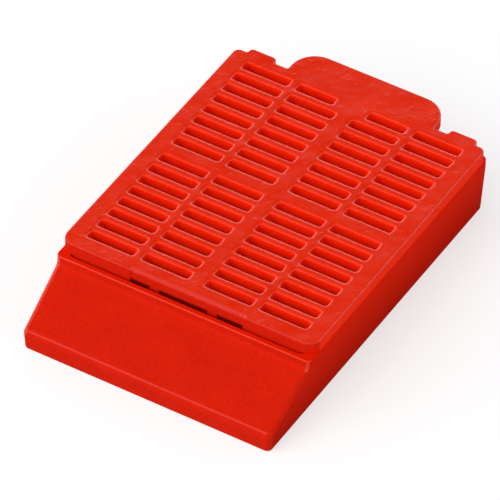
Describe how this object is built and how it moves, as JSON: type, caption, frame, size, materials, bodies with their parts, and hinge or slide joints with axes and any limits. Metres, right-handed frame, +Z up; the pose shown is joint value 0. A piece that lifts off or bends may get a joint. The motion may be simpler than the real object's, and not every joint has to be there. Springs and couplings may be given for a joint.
{
  "type": "tissue processing cassette",
  "caption": "Shallow slotted plastic box with a slanted writing face and a slotted lid that hooks in at the front, swings up and has a rounded finger tab at the rear.",
  "frame": {"origin": "middle of the footprint, finger tab included, on the plane it stands on", "axes": "+Z up, +Y from the slanted writing face to the finger tab, +X to the right seen from the writing face"},
  "size_m": [0.0286, 0.0434, 0.0081],
  "materials": {
    "tray_plastic": "satin moulded red acetal, matt on the slanted writing face",
    "lid_plastic": "semi-gloss moulded red acetal"
  },
  "bodies": {
    "tray": {"tray": "tray_plastic"},
    "lid": {"lid": "lid_plastic"}
  },
  "joints": [
    {"name": "lid_hinge", "type": "hinge", "parent": "tray", "child": "lid", "pos_m": [0, -0.01441, 0.00708], "axis": [1, 0, 0], "range_deg": [0, 110]}
  ]
}
